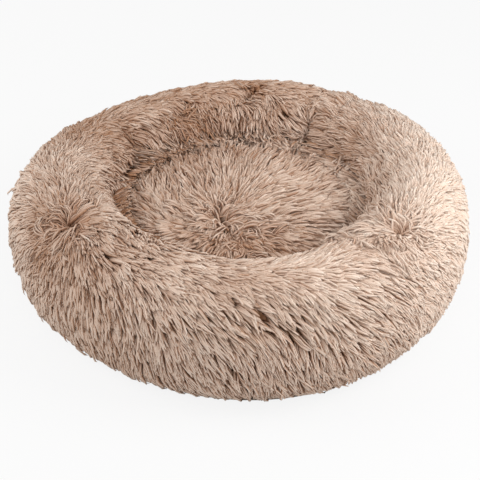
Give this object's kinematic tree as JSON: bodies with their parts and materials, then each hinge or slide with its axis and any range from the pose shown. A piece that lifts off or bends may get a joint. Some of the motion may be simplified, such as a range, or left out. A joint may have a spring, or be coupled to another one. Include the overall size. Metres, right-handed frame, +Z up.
{
  "type": "dog bed",
  "caption": "Round plush pet bed: a stuffed ring bolster in long shaggy pile round a crowned, tacked seat cushion, on a flat cloth base.",
  "frame": {"origin": "on the surface the bed stands on, under the middle of its footprint", "axes": "+Z up, square to the base; -Y is the front, the side nearest the viewer in the picture"},
  "size_m": [0.5952, 0.608, 0.1726],
  "materials": {
    "plush": "matte",
    "fibre": "matte",
    "lining": "matte",
    "tape": "matte",
    "base": "satin"
  },
  "bodies": {
    "root": {"bolster_cover_front": "plush", "bolster_cover_back": "plush", "bolster_fill": "fibre", "bolster_lining": "lining", "seat_cover": "plush", "seat_fill": "fibre", "seat_lining": "lining", "seat_seam_tape": "tape", "base_seam_tape": "tape", "seat_tack": "tape", "base_cloth": "base"}
  },
  "joints": []
}
